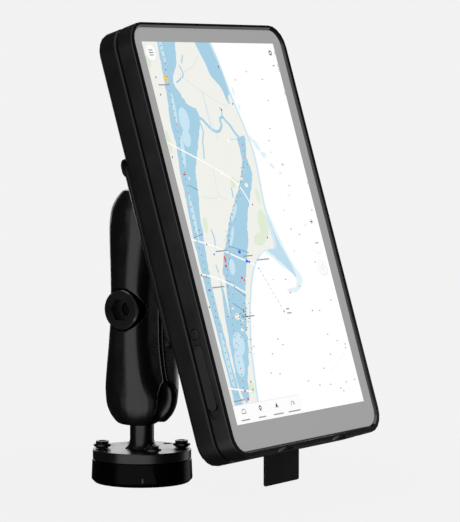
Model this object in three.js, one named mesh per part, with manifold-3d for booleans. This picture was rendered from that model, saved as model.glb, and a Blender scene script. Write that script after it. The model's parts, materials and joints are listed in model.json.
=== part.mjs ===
// Portrait chartplotter display on a ball-and-socket arm with a round bolt-down base.
// Millimetres, +Z up. Origin: centre of the base's underside. The display faces -Y.

import * as THREE from 'three';
import { mergeVertices } from 'three/addons/utils/BufferGeometryUtils.js';
import Module from 'manifold-3d';

const wasm = await Module();
wasm.setup();

// ---------------------------------------------------------------- driving dimensions

const GAP = 0.3; // clearance between pieces that touch
const LATHE_STEPS = 24;

// round base
const RING_HEIGHT = 14.2;
const RING_RADIUS = 30.9;
const RING_TOP_RADIUS = 30.4;
const RING_BORE = 19;
const RING_FLOOR = 3;
const BASE_STEPS = 40;
const PLATE_Z = RING_HEIGHT + GAP;
const PLATE_THICKNESS = 5.9;
const PLATE_TOP = PLATE_Z + PLATE_THICKNESS;
const PLATE_RADIUS = 30.1;
const BOLT_SPACING_X = 30;
const BOLT_SPACING_Y = 38;
const BOLT_HOLE_RADIUS = 2.8;
const SPARE_HOLE_ANGLE = -4;
const SPARE_HOLE_DISTANCE = 24.1;
const TICK_ANGLE = 217;

// balls and their posts
const BALL_RADIUS = 19.05;
const BALL_CORE_RADIUS = 17.3;
const BALL_BORE = BALL_CORE_RADIUS + GAP;
const POST_RADIUS = 7.4;
const COVER_MOUTH_RADIUS = 8.2;
const LOWER_BALL_Z = 52.6;

// socket arm
const ARM_LENGTH = 108.46; // ball centre to ball centre
const ARM_LEAN = 1.95; // degrees, towards the display
const ARM_END = 17; // flat end, beyond each ball centre
const SPLIT_GAP = 3.2;
const SOCKET_RADIUS = BALL_RADIUS + GAP;
const SOCKET_MOUTH = 11.2;
const NOTCH_RADIUS = 10;
const ARM_SECTIONS = [
  // distance from the middle, half depth along X, half width along Y, corner radius
  [0, 23.8, 12.8, 10.5],
  [18, 24.1, 13.4, 10.7],
  [31, 24, 15, 12],
  [43, 23.5, 17.5, 14.6],
  [50, 22.8, 20.2, 18.6],
  [54.2, 22.1, 22.1, 22.05],
  [60, 21.3, 21.3, 21.25],
  [63, 20.2, 20.2, 20.15],
  [66, 18.7, 18.7, 18.65],
  [68.6, 16.8, 16.8, 16.75],
  [70.4, 15.2, 15.2, 15.15],
  [71.2, 14.2, 14.2, 14.15],
];

const ARM_STEP = 3.6;
const ARM_CLOSE_STEP = 1.3;
const ARM_CLOSE_FROM = 57;

// clamp knob and bolt
const KNOB_FACE_X = 24.4;
const KNOB_LENGTH = 18;
const KNOB_FACE_RADIUS = 12.1;
const KNOB_NECK_RADIUS = 5.8;
const KNOB_HEX_RADIUS = 7.25;
const KNOB_HEX_DEPTH = 6.8;
const BOLT_RADIUS = 3.7;
const BOLT_BORE = 4.1;
const NUT_RADIUS = 5.4;
const NUT_START = 11.5; // behind the knob's face
const SPRING_BORE = 6.2;

// display, in its own frame: x across, y back from the glass face, z up the screen
const DISPLAY_TILT = 17.1; // degrees, top leans back
const GLASS_CENTRE = [0, -85.33, 155.4];
const GLASS_WIDTH = 151.2;
const GLASS_HEIGHT = 250.6;
const GLASS_CORNER = 10;
const GLASS_THICKNESS = 1.8;
const BODY_HALF_WIDTH = 80;
const BODY_HALF_HEIGHT = 128.7;
const BODY_CENTRE_Z = -0.5;
const BODY_CORNER = 14;
const BEZEL_PROUD = 1.2;
const FRONT_BACK_Y = 9.4;
const REAR_FRONT_Y = 11.1;
const REAR_BACK_Y = 24.5;
const STUD_Z = 29.35; // ball stud axis above the glass centre
const BALL_Y = 76.37; // upper ball centre behind the glass face
const SIDE_CONTROL_Y = 6.1;
const POWER_BUTTON_Z = -54.6;
const POWER_BUTTON_RADIUS = 2.9;
const PORT_COVER_Z = -80;
const PORT_COVER_LENGTH = 37.8;
const PORT_COVER_WIDTH = 6;
const TOP_BUTTON_X = 41.5;
const TOP_BUTTON_LENGTH = 13;
const TOP_BUTTON_WIDTH = 4;
const BOTTOM_COVER_LENGTH = 50;
const BOTTOM_COVER_WIDTH = 5.2;
const SCALLOP_X = 29;
const WALL = 2.6;
const CASE_SCREW_X = 70;
const CASE_SCREW_LOW_Z = -119;
const CASE_SCREW_HIGH_Z = 118;
const CASE_SCREW_SINK = 1.6;
const SPEAKER_X = -40;
const SPEAKER_Z = -100;
const TAB_PIN_Y = 21.4;
const TAB_PIN_Z = -126.4;
const TAB_WIDTH = 36.2;
const TAB_THICKNESS = 1.6;
const TAB_BOTTOM_Z = 7.6;

// dock plate behind the display
const DOCK_FRONT_Y = REAR_BACK_Y + GAP;
const DOCK_THICKNESS = 4;
const DOCK_BACK_Y = DOCK_FRONT_Y + DOCK_THICKNESS;
const DOCK_HALF_WIDTH = 77.4;
const DOCK_TOP_Z = 56;
const DOCK_BOTTOM_Z = -60;
const DISC_FRONT_Y = DOCK_BACK_Y + GAP;
const DISC_THICKNESS = 6;
const DISC_RADIUS = 26;
const DISC_SCREW_CIRCLE = 20;
const DOCK_SCREW_X = 62;
const DOCK_SCREW_INSET = 18; // from the dock plate's top and bottom edges

// ---------------------------------------------------------------- helpers

const radians = THREE.MathUtils.degToRad;

function toSolid(geometry) {
  const bare = geometry.clone();
  bare.deleteAttribute('normal');
  bare.deleteAttribute('uv');
  const merged = mergeVertices(bare, 1e-4);
  return new wasm.Manifold(new wasm.Mesh({
    numProp: 3,
    vertProperties: new Float32Array(merged.attributes.position.array),
    triVerts: new Uint32Array(merged.index.array),
  }));
}

function toGeometry(solid) {
  const { vertProperties, triVerts } = solid.getMesh();
  const geometry = new THREE.BufferGeometry();
  geometry.setAttribute('position', new THREE.BufferAttribute(vertProperties, 3));
  geometry.setIndex(new THREE.BufferAttribute(triVerts, 1));
  geometry.computeVertexNormals();
  return geometry;
}

function cut(geometry, tools) {
  let solid = toSolid(geometry);
  for (const tool of tools) {
    solid = solid.subtract(toSolid(tool));
  }
  return toGeometry(solid);
}

function join(geometry, others) {
  let solid = toSolid(geometry);
  for (const other of others) {
    solid = solid.add(toSolid(other));
  }
  return toGeometry(solid);
}

function keep(geometry, region) {
  return toGeometry(toSolid(geometry).intersect(toSolid(region)));
}

function box(sizeX, sizeY, sizeZ, x = 0, y = 0, z = 0) {
  return new THREE.BoxGeometry(sizeX, sizeY, sizeZ).translate(x, y, z);
}

// cylinder from one height to another along Z
function rod(radius, low, high, x = 0, y = 0, steps = 14, topRadius = radius) {
  const geometry = new THREE.CylinderGeometry(topRadius, radius, high - low, steps);
  return geometry.rotateX(Math.PI / 2).translate(x, y, (low + high) / 2);
}

// the same along X or Y
function rodX(radius, low, high, y = 0, z = 0, steps = 14, highRadius = radius) {
  return rod(radius, low, high, 0, 0, steps, highRadius).rotateY(Math.PI / 2).translate(0, y, z);
}

function rodY(radius, low, high, x = 0, z = 0, steps = 14, highRadius = radius) {
  return rod(radius, low, high, 0, 0, steps, highRadius).rotateX(-Math.PI / 2).translate(x, 0, z);
}

// turned piece about Z from [radius, height] points
function turned(points, steps = LATHE_STEPS) {
  const profile = points.map(([radius, height]) => new THREE.Vector2(radius, height));
  return new THREE.LatheGeometry(profile, steps).rotateX(Math.PI / 2);
}

function ball(radius, z = 0, steps = 24) {
  const points = [];
  const rows = steps / 2;
  for (let i = 0; i <= rows; i += 1) {
    const angle = -Math.PI / 2 + (Math.PI * i) / rows;
    const isPole = i === 0 || i === rows;
    points.push([isPole ? 0 : radius * Math.cos(angle), radius * Math.sin(angle)]);
  }
  return turned(points, steps).translate(0, 0, z);
}

// profile points of a ball from its neck to its far pole, with the ball's centre at the given height
function ballProfile(radius, neckRadius, centre, rows = 11) {
  const start = Math.asin(neckRadius / radius);
  const points = [];
  for (let i = 1; i <= rows; i += 1) {
    const angle = start + ((Math.PI - start) * i) / rows;
    points.push([i === rows ? 0 : radius * Math.sin(angle), centre - radius * Math.cos(angle)]);
  }
  return points;
}

function roundedOutline(halfX, halfZ, radius, steps) {
  const points = [];
  const corners = [[1, 1, 0], [-1, 1, 90], [-1, -1, 180], [1, -1, 270]];
  for (const [signX, signZ, start] of corners) {
    for (let i = 0; i <= steps; i += 1) {
      const angle = radians(start + (90 * i) / steps);
      points.push([
        signX * (halfX - radius) + radius * Math.cos(angle),
        signZ * (halfZ - radius) + radius * Math.sin(angle),
      ]);
    }
  }
  return points;
}

// Carries a profile of [inset, y] points round a rounded rectangle in the XZ plane.
// An open profile makes a plate that is capped at both ends, and a closed one makes a frame.
function framed(halfX, halfZ, corner, profile, { closed = false, steps = 6, z = 0 } = {}) {
  const positions = [];
  const indices = [];
  let count = 0;
  for (const [inset, y] of profile) {
    const radius = Math.max(corner - inset, 0.4);
    const outline = roundedOutline(halfX - inset, halfZ - inset, radius, steps);
    count = outline.length;
    for (const [px, pz] of outline) {
      positions.push(px, y, pz + z);
    }
  }
  const rows = closed ? profile.length : profile.length - 1;
  for (let row = 0; row < rows; row += 1) {
    const here = row * count;
    const next = ((row + 1) % profile.length) * count;
    for (let i = 0; i < count; i += 1) {
      const j = (i + 1) % count;
      indices.push(here + i, next + i, here + j);
      indices.push(here + j, next + i, next + j);
    }
  }
  if (!closed) {
    const last = (profile.length - 1) * count;
    for (let i = 1; i < count - 1; i += 1) {
      indices.push(0, i, i + 1);
      indices.push(last, last + i + 1, last + i);
    }
  }
  const geometry = new THREE.BufferGeometry();
  geometry.setAttribute('position', new THREE.Float32BufferAttribute(positions, 3));
  geometry.setIndex(indices);
  return geometry;
}

// capsule-shaped plate: length along Z, width along Y, thickness along X
function slot(length, width, lowX, highX, y, z, steps = 5) {
  const half = (highX - lowX) / 2;
  const plate = framed(width / 2, length / 2, width / 2 - 0.01, [[0, -half], [0, half]], { steps });
  return plate.rotateZ(Math.PI / 2).translate((lowX + highX) / 2, y, z);
}

function material(color, roughness, metalness = 0) {
  return new THREE.MeshStandardMaterial({ color, roughness, metalness });
}

function add(group, name, geometry, finish) {
  const mesh = new THREE.Mesh(geometry, finish);
  mesh.name = name;
  group.add(mesh);
}

// ---------------------------------------------------------------- finishes

const powderCoat = material(0x202021, 0.45, 0.5);
const blackSteel = material(0x1b1b1c, 0.35, 0.8);
const rubber = material(0x141414, 0.8);
const ringPlastic = material(0x111112, 0.35);
const casePlastic = material(0x1a1a1b, 0.5);
const bumperPlastic = material(0x222223, 0.55);
const glass = material(0xa3a3a3, 0.05);
const screen = material(0xd8e4e8, 0.3);
const sheetMetal = material(0x9a9c9f, 0.35, 1);
const boardGreen = material(0x1f5a3a, 0.6);
const batteryFoil = material(0x3a3d42, 0.4, 0.3);
const steel = material(0xb5b5b8, 0.3, 1);
const gold = material(0xd4af37, 0.3, 1);
const tabWebbing = material(0x1c1c1a, 0.85);

// ---------------------------------------------------------------- round base

// hexagon bolt with a flange round the middle of its head and a dished top
function flangedBolt(x, y, shankLength) {
  const seat = PLATE_TOP + GAP;
  const head = rod(4.3, seat, seat + 4.3, 0, 0, 6);
  const flange = turned([
    [0, seat + 0.9], [5, seat + 0.9], [5.4, seat + 1.3],
    [5.4, seat + 2.2], [3.9, seat + 2.8], [0, seat + 2.8],
  ], 20);
  const shank = rod(2.5, seat - shankLength, seat + 0.2, 0, 0, 10);
  const dish = rod(2, seat + 3.5, seat + 4.5, 0, 0, 12, 2.6);
  return cut(join(head, [flange, shank]), [dish]).translate(x, y, 0);
}

function boltHoles(radius, low, high) {
  const holes = [];
  for (const signX of [-1, 1]) {
    for (const signY of [-1, 1]) {
      holes.push(rod(radius, low, high, (signX * BOLT_SPACING_X) / 2, (signY * BOLT_SPACING_Y) / 2));
    }
  }
  return holes;
}

function buildBase(group) {
  const ring = turned([
    [0, 0], [RING_RADIUS - 2, 0], [RING_RADIUS, 2.1], [RING_TOP_RADIUS, RING_HEIGHT - 0.4],
    [RING_TOP_RADIUS - 0.4, RING_HEIGHT], [RING_BORE, RING_HEIGHT], [RING_BORE, RING_FLOOR], [0, RING_FLOOR],
  ], BASE_STEPS);
  const tickAngle = radians(TICK_ANGLE);
  const facet = box(4, 26, 3.4, RING_RADIUS + 0.9, 0, 4.2).rotateZ(tickAngle);
  const tick = box(1, 1.4, 3, RING_RADIUS - 0.9, 0, 4.4).rotateZ(tickAngle);
  const ringHoles = boltHoles(BOLT_HOLE_RADIUS, -1, RING_HEIGHT + 1);
  add(group, 'base_ring', cut(join(cut(ring, [facet]), [tick]), ringHoles), ringPlastic);

  const plate = turned([
    [POST_RADIUS + 0.1, PLATE_Z], [PLATE_RADIUS, PLATE_Z], [PLATE_RADIUS, PLATE_TOP - 0.6],
    [PLATE_RADIUS - 0.6, PLATE_TOP], [POST_RADIUS + 0.1, PLATE_TOP], [POST_RADIUS + 0.1, PLATE_Z],
  ], BASE_STEPS);
  const spareAngle = radians(SPARE_HOLE_ANGLE);
  const spareX = SPARE_HOLE_DISTANCE * Math.cos(spareAngle);
  const spareY = SPARE_HOLE_DISTANCE * Math.sin(spareAngle);
  const plateHoles = boltHoles(BOLT_HOLE_RADIUS, PLATE_Z - 1, PLATE_TOP + 1);
  plateHoles.push(rod(BOLT_HOLE_RADIUS, PLATE_Z - 1, PLATE_TOP + 1, spareX, spareY));
  add(group, 'base_plate', cut(plate, plateHoles), powderCoat);

  // post riveted into the plate, with a ball core on top
  const neckZ = LOWER_BALL_Z - Math.sqrt(BALL_CORE_RADIUS ** 2 - POST_RADIUS ** 2);
  const foot = PLATE_TOP + GAP;
  const profile = [
    [0, PLATE_Z], [POST_RADIUS - 0.2, PLATE_Z], [POST_RADIUS - 0.2, foot], [10.6, foot],
    [9.2, foot + 1.2], [8.1, foot + 2.8], [POST_RADIUS, foot + 5], [POST_RADIUS, neckZ],
    ...ballProfile(BALL_CORE_RADIUS, POST_RADIUS, LOWER_BALL_Z),
  ];
  add(group, 'base_ball_post', turned(profile), blackSteel);

  const bolts = [[-1, 1], [-1, -1], [1, -1]];
  bolts.forEach(([signX, signY], index) => {
    const x = (signX * BOLT_SPACING_X) / 2;
    const y = (signY * BOLT_SPACING_Y) / 2;
    add(group, `base_bolt_${index + 1}`, flangedBolt(x, y, 20), blackSteel);
  });
}

// rubber skin moulded round a ball core, open where the post comes through (towards -Z)
function ballCover() {
  const points = [];
  const rows = 11;
  const outerStart = Math.asin(COVER_MOUTH_RADIUS / BALL_RADIUS);
  for (let i = 0; i <= rows; i += 1) {
    const angle = outerStart + ((Math.PI - outerStart) * i) / rows;
    points.push([i === rows ? 0 : BALL_RADIUS * Math.sin(angle), -BALL_RADIUS * Math.cos(angle)]);
  }
  const innerStart = Math.asin(COVER_MOUTH_RADIUS / BALL_BORE);
  for (let i = rows; i >= 0; i -= 1) {
    const angle = innerStart + ((Math.PI - innerStart) * i) / rows;
    points.push([i === rows ? 0 : BALL_BORE * Math.sin(angle), -BALL_BORE * Math.cos(angle)]);
  }
  const positions = [];
  const indices = [];
  const steps = LATHE_STEPS;
  points.forEach(([radius, z]) => {
    for (let i = 0; i < steps; i += 1) {
      const angle = (2 * Math.PI * i) / steps;
      positions.push(radius * Math.cos(angle), radius * Math.sin(angle), z);
    }
  });
  for (let row = 0; row < points.length; row += 1) {
    const next = (row + 1) % points.length;
    for (let i = 0; i < steps; i += 1) {
      const j = (i + 1) % steps;
      indices.push(row * steps + i, row * steps + j, next * steps + i);
      indices.push(row * steps + j, next * steps + j, next * steps + i);
    }
  }
  const geometry = new THREE.BufferGeometry();
  geometry.setAttribute('position', new THREE.Float32BufferAttribute(positions, 3));
  geometry.setIndex(indices);
  return geometry;
}

// ---------------------------------------------------------------- socket arm
// Its own frame: origin at the lower ball centre, Z along the arm.

// smooth curve through the section table, without overshoot
function sectionAt(distance) {
  const last = ARM_SECTIONS.length - 1;
  let index = 0;
  while (index < last - 1 && distance > ARM_SECTIONS[index + 1][0]) {
    index += 1;
  }
  const low = ARM_SECTIONS[index];
  const high = ARM_SECTIONS[index + 1];
  const span = high[0] - low[0];
  const share = (distance - low[0]) / span;
  const startWeight = share * (1 - share) ** 2 * span;
  const endWeight = share ** 2 * (share - 1) * span;
  const blend = share ** 2 * (3 - 2 * share);
  return [1, 2, 3].map((column) => (
    low[column] + (high[column] - low[column]) * blend
      + startWeight * sectionSlope(index, column) + endWeight * sectionSlope(index + 1, column)
  ));
}

function sectionSlope(index, column) {
  if (index === 0) {
    return 0;
  }
  const [before, here] = [ARM_SECTIONS[index - 1], ARM_SECTIONS[index]];
  const slopeBefore = (here[column] - before[column]) / (here[0] - before[0]);
  if (index === ARM_SECTIONS.length - 1) {
    return slopeBefore;
  }
  const after = ARM_SECTIONS[index + 1];
  const slopeAfter = (after[column] - here[column]) / (after[0] - here[0]);
  const sum = slopeBefore + slopeAfter;
  return slopeBefore * slopeAfter <= 0 ? 0 : (2 * slopeBefore * slopeAfter) / sum;
}

// distances from the arm's middle at which the body is drawn, closer together at its rounded end
function armStations(reach) {
  const stations = [0];
  while (stations[stations.length - 1] < reach) {
    const here = stations[stations.length - 1];
    const step = here < ARM_CLOSE_FROM ? ARM_STEP : ARM_CLOSE_STEP;
    stations.push(Math.min(here + step, reach));
  }
  return stations;
}

function armBody() {
  const middle = ARM_LENGTH / 2;
  const stations = armStations(middle + ARM_END);
  const levels = [...stations.slice(1).reverse().map((value) => -value), ...stations];
  const positions = [];
  const indices = [];
  let around = 0;
  for (const level of levels) {
    const [halfX, halfY, corner] = sectionAt(Math.abs(level));
    const outline = roundedOutline(halfX, halfY, Math.min(corner, halfX - 0.05, halfY - 0.05), 8);
    around = outline.length;
    for (const [x, y] of outline) {
      positions.push(x, y, middle + level);
    }
  }
  for (let row = 0; row < levels.length - 1; row += 1) {
    for (let i = 0; i < around; i += 1) {
      const j = (i + 1) % around;
      const here = row * around;
      indices.push(here + i, here + j, here + around + i);
      indices.push(here + j, here + around + j, here + around + i);
    }
  }
  const last = (levels.length - 1) * around;
  for (let i = 1; i < around - 1; i += 1) {
    indices.push(0, i + 1, i);
    indices.push(last, last + i, last + i + 1);
  }
  const geometry = new THREE.BufferGeometry();
  geometry.setAttribute('position', new THREE.Float32BufferAttribute(positions, 3));
  geometry.setIndex(indices);
  return geometry;
}

function armHollows() {
  const middle = ARM_LENGTH / 2;
  const hollows = [ball(SOCKET_RADIUS), ball(SOCKET_RADIUS, ARM_LENGTH)];
  for (const [centre, way] of [[0, -1], [ARM_LENGTH, 1]]) {
    const mouthHigh = centre + way * (ARM_END + 2);
    hollows.push(rod(SOCKET_MOUTH, Math.min(centre, mouthHigh), Math.max(centre, mouthHigh), 0, 0, 20));
    // side notch that lets the post swing towards -Y
    hollows.push(rodY(NOTCH_RADIUS, -30, 0, 0, centre, 20));
    hollows.push(box(2 * NOTCH_RADIUS, 30, ARM_END + 2, 0, -15, centre + (way * (ARM_END + 2)) / 2));
  }
  // lightening pockets each side of the bolt boss
  for (const sign of [-1, 1]) {
    hollows.push(box(30, 16, 15, 0, 0, middle + sign * 21.5));
  }
  hollows.push(rodX(SPRING_BORE, -4, 8, 0, middle, 24));
  return hollows;
}

function buildArmShells() {
  const body = cut(armBody(), armHollows());
  const middle = ARM_LENGTH / 2;
  const wide = 60;
  const long = 220;
  const half = SPLIT_GAP / 2;
  const leftRegion = box(wide, wide, long, -half - wide / 2, 0, middle);
  const rightRegion = box(wide, wide, long, half + wide / 2, 0, middle);
  // round well that the knob turns in, open at the shell's sides, and its cone-shaped floor
  const well = rodX(KNOB_FACE_RADIUS + 0.6, -30, -14.5, 0, middle, 32);
  const wellFloor = rodX(KNOB_FACE_RADIUS + 0.6, -14.6, -5.9, 0, middle, 32, 7);
  const left = cut(keep(body, leftRegion), [rodX(BOLT_BORE, -30, 0, 0, middle, 16), well, wellFloor]);
  const hexPocket = rodX(8, 14.6, 30, 0, middle, 6);
  const right = cut(keep(body, rightRegion), [rodX(BOLT_BORE, 0, 30, 0, middle), hexPocket]);
  return { left, right };
}

function buildKnob() {
  const rim = rodX(KNOB_FACE_RADIUS, 0.5, 1.7, 0, 0, 32);
  const edge = rodX(KNOB_FACE_RADIUS - 0.5, 0, 0.6, 0, 0, 32, KNOB_FACE_RADIUS);
  const cone = rodX(KNOB_FACE_RADIUS - 0.3, 1.6, KNOB_LENGTH, 0, 0, 32, KNOB_NECK_RADIUS);
  return cut(join(edge, [rim, cone]), [
    rodX(KNOB_HEX_RADIUS, -1, KNOB_HEX_DEPTH, 0, 0, 6),
    rodX(BOLT_BORE, KNOB_HEX_DEPTH - 1, KNOB_LENGTH + 1, 0, 0, 20),
    rodX(NUT_RADIUS + 0.4, NUT_START - 0.3, KNOB_LENGTH + 1, 0, 0, 6),
  ]);
}

function buildArm(group) {
  const middle = ARM_LENGTH / 2;
  const { left, right } = buildArmShells();
  add(group, 'arm_shell_right', right, powderCoat);
  add(group, 'arm_shell_left', left, powderCoat);

  const head = rodX(7.4, 14.9, 20.4, 0, middle, 6);
  const shank = rodX(BOLT_RADIUS, KNOB_HEX_DEPTH + 1 - KNOB_FACE_X, 15, 0, middle);
  add(group, 'clamp_bolt', join(head, [shank]), steel);

  const spring = cut(
    rodX(SPRING_BORE - 0.4, -3.6, 7.6, 0, middle, 20),
    [rodX(BOLT_RADIUS + 0.7, -9, 9, 0, middle, 20)],
  );
  add(group, 'clamp_spring', spring, steel);
  add(group, 'clamp_knob', buildKnob().translate(-KNOB_FACE_X, 0, middle), ringPlastic);

  const nut = cut(
    rodX(NUT_RADIUS, NUT_START, NUT_START + 5, 0, 0, 6),
    [rodX(BOLT_RADIUS + GAP, NUT_START - 1, NUT_START + 6, 0, 0, 20)],
  );
  add(group, 'knob_nut', nut.translate(-KNOB_FACE_X, 0, middle), steel);
}

// ---------------------------------------------------------------- ball stud and dock
// Display frame: x across, y back from the glass face, z up the screen.

function buildStud(group) {
  const foot = DISC_FRONT_Y;
  const face = foot + DISC_THICKNESS;
  const neckY = BALL_Y - Math.sqrt(BALL_CORE_RADIUS ** 2 - POST_RADIUS ** 2);
  const profile = [
    [0, foot], [DISC_RADIUS, foot], [DISC_RADIUS, face - 1], [DISC_RADIUS - 1, face], [10.6, face],
    [9, face + 1.4], [8, face + 3.2], [POST_RADIUS, face + 5.5], [POST_RADIUS, neckY],
    ...ballProfile(BALL_CORE_RADIUS, POST_RADIUS, BALL_Y),
  ];
  const holes = screwPlaces().map(([x, z]) => rodY(2.3, foot - 1, face + 1, x, z - STUD_Z, 10));
  const stud = cut(turned(profile).rotateX(-Math.PI / 2), holes).translate(0, 0, STUD_Z);
  add(group, 'dock_ball_stud', stud, blackSteel);
}

function screwPlaces() {
  const places = [];
  for (let i = 0; i < 4; i += 1) {
    const angle = radians(45 + 90 * i);
    places.push([DISC_SCREW_CIRCLE * Math.cos(angle), STUD_Z + DISC_SCREW_CIRCLE * Math.sin(angle)]);
  }
  return places;
}

function dockScrewPlaces() {
  const places = [];
  for (const x of [-DOCK_SCREW_X, DOCK_SCREW_X]) {
    for (const z of [DOCK_TOP_Z - DOCK_SCREW_INSET, DOCK_BOTTOM_Z + DOCK_SCREW_INSET]) {
      places.push([x, z]);
    }
  }
  return places;
}

function buildDock(group) {
  const halfHeight = (DOCK_TOP_Z - DOCK_BOTTOM_Z) / 2;
  const middle = (DOCK_TOP_Z + DOCK_BOTTOM_Z) / 2;
  const plate = framed(DOCK_HALF_WIDTH, halfHeight, 9, [
    [1.5, DOCK_FRONT_Y], [0, DOCK_FRONT_Y + 1.5], [0, DOCK_BACK_Y - 1.2], [1.2, DOCK_BACK_Y],
  ], { z: middle });
  const ribs = [
    framed(DOCK_HALF_WIDTH, 6, 5, [[0, DOCK_BACK_Y - 2], [0, DOCK_BACK_Y + 0.4], [1, DOCK_BACK_Y + 1.4]],
      { z: DOCK_TOP_Z - 7 }),
    framed(DOCK_HALF_WIDTH, 3.5, 3, [[0, DOCK_BACK_Y - 2], [0, DOCK_BACK_Y + 0.4], [1, DOCK_BACK_Y + 1.4]],
      { z: DOCK_BOTTOM_Z + 6 }),
  ];
  const holes = screwPlaces().map(([x, z]) => rodY(2.3, DOCK_FRONT_Y - 1, DOCK_BACK_Y + 1, x, z, 10));
  for (const [x, z] of dockScrewPlaces()) {
    holes.push(rodY(2.3, DOCK_FRONT_Y - 1, DOCK_BACK_Y + 1, x, z, 10));
  }
  for (const x of [-38, 38]) {
    const opening = framed(12, 30, 5, [[0, DOCK_FRONT_Y - 1], [0, DOCK_BACK_Y + 1]], { z: -14 });
    holes.push(opening.translate(x, 0, 0));
  }
  const discClearance = box(2 * DISC_RADIUS + 4, 20, 40, 0, DOCK_BACK_Y + 10, DOCK_TOP_Z - 12);
  const ribbed = join(plate, ribs.map((rib) => cut(rib, [discClearance])));
  add(group, 'dock_plate', cut(ribbed, holes), powderCoat);

  screwPlaces().forEach(([x, z], index) => {
    const seat = DISC_FRONT_Y + DISC_THICKNESS + GAP;
    const head = rodY(4, seat, seat + 2.6, x, z, 12, 3.2);
    const shank = rodY(2, DOCK_FRONT_Y + 0.4, seat + 0.2, x, z, 8);
    const socket = rodY(1.5, seat + 1.2, seat + 3, x, z, 6);
    add(group, `stud_screw_${index + 1}`, cut(join(head, [shank]), [socket]), blackSteel);
  });
  dockScrewPlaces().forEach(([x, z], index) => {
    const seat = DOCK_BACK_Y + GAP;
    const head = rodY(4, seat, seat + 2.2, x, z, 12, 3.4);
    const shank = rodY(2, REAR_BACK_Y - 6, seat + 0.2, x, z, 8);
    const socket = rodY(1.5, seat + 1, seat + 3, x, z, 6);
    add(group, `dock_screw_${index + 1}`, cut(join(head, [shank]), [socket]), blackSteel);
  });
}

// ---------------------------------------------------------------- display housings

const CASE = { steps: 5, z: BODY_CENTRE_Z };

function bodyFrame(profile, options = {}) {
  return framed(BODY_HALF_WIDTH, BODY_HALF_HEIGHT, BODY_CORNER, profile, { ...CASE, ...options });
}

const LEDGE_Y = GLASS_THICKNESS + 0.6;
const LEDGE_WIDTH = 2.4;
const BEZEL_BEVEL = 1.2;

// opening for the glass: bevelled mouth, seat for the glass edge, then the window behind it
function glassOpenings() {
  const halfX = GLASS_WIDTH / 2;
  const halfZ = GLASS_HEIGHT / 2;
  const mouth = framed(halfX, halfZ, GLASS_CORNER, [
    [-BEZEL_BEVEL - 0.2, -BEZEL_PROUD - 0.2], [0, 0], [0, LEDGE_Y],
  ]);
  const windowBehind = framed(halfX, halfZ, GLASS_CORNER, [
    [LEDGE_WIDTH, LEDGE_Y - 0.5], [LEDGE_WIDTH, FRONT_BACK_Y + 1],
  ]);
  return [mouth, windowBehind];
}

// everything cut out of the front housing besides the glass opening
function frontTools() {
  const half = BODY_HALF_WIDTH;
  const topZ = BODY_CENTRE_Z + BODY_HALF_HEIGHT;
  const bottomZ = BODY_CENTRE_Z - BODY_HALF_HEIGHT;
  const button = POWER_BUTTON_RADIUS + GAP;
  const nailZ = PORT_COVER_Z - PORT_COVER_LENGTH / 2 + 0.1;
  const tools = [
    rodX(button, -half - 1, -half + 9, SIDE_CONTROL_Y, POWER_BUTTON_Z, 16),
    slot(PORT_COVER_LENGTH + 2 * GAP, PORT_COVER_WIDTH + 2 * GAP, -half - 1, -half + 9, SIDE_CONTROL_Y,
      PORT_COVER_Z),
    slot(10, 7, -half - 3.4, -half + 1.8, SIDE_CONTROL_Y - 0.6, nailZ),
    slot(TOP_BUTTON_LENGTH + 2 * GAP, TOP_BUTTON_WIDTH + 2 * GAP, -6, 6, 0, 0)
      .rotateY(Math.PI / 2).translate(TOP_BUTTON_X, SIDE_CONTROL_Y, topZ - 2),
    slot(BOTTOM_COVER_LENGTH + 2 * GAP, BOTTOM_COVER_WIDTH + 2 * GAP, -6, 6, 0, 0)
      .rotateY(Math.PI / 2).translate(0, SIDE_CONTROL_Y, bottomZ + 2),
  ];
  for (const signX of [-1, 1]) {
    const scallop = ball(1).scale(8, 2.4, 2.4);
    tools.push(scallop.translate(signX * SCALLOP_X, -BEZEL_PROUD, bottomZ - 0.3));
  }
  return tools;
}

function buildFrontHousing(group) {
  const block = bodyFrame([
    [0.8, -BEZEL_PROUD], [0.22, -0.95], [0, -0.4], [0, FRONT_BACK_Y - 0.4], [0.3, FRONT_BACK_Y],
  ]);
  add(group, 'front_housing', cut(block, [...glassOpenings(), ...frontTools()]), bumperPlastic);
}

// everything cut out of the rear housing once the wall round the tab is in
function rearTools(floorY, tabHalf) {
  const bottomZ = BODY_CENTRE_Z - BODY_HALF_HEIGHT;
  const tools = [
    box(2 * tabHalf, 8, 9, 0, REAR_BACK_Y - 1.9, bottomZ + 1.2),
    rodX(0.9, -tabHalf - 1.2, tabHalf + 1.2, TAB_PIN_Y, TAB_PIN_Z, 12),
  ];
  for (const [x, z] of dockScrewPlaces()) {
    tools.push(rodY(2.3, floorY - 4, REAR_BACK_Y + 1, x, z, 10));
  }
  for (const x of [-9, -3, 3, 9]) {
    const ventSlot = framed(1, 4, 0.9, [[0, floorY - 1], [0, REAR_BACK_Y + 1]], { z: SPEAKER_Z });
    tools.push(ventSlot.translate(SPEAKER_X + x, 0, 0));
  }
  for (const [x, z] of caseScrewPlaces()) {
    tools.push(rodY(1.7, floorY - 1, REAR_BACK_Y + 1, x, z, 8));
    tools.push(rodY(3.1, REAR_BACK_Y - CASE_SCREW_SINK, REAR_BACK_Y + 1, x, z, 12));
  }
  return tools;
}

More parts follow.
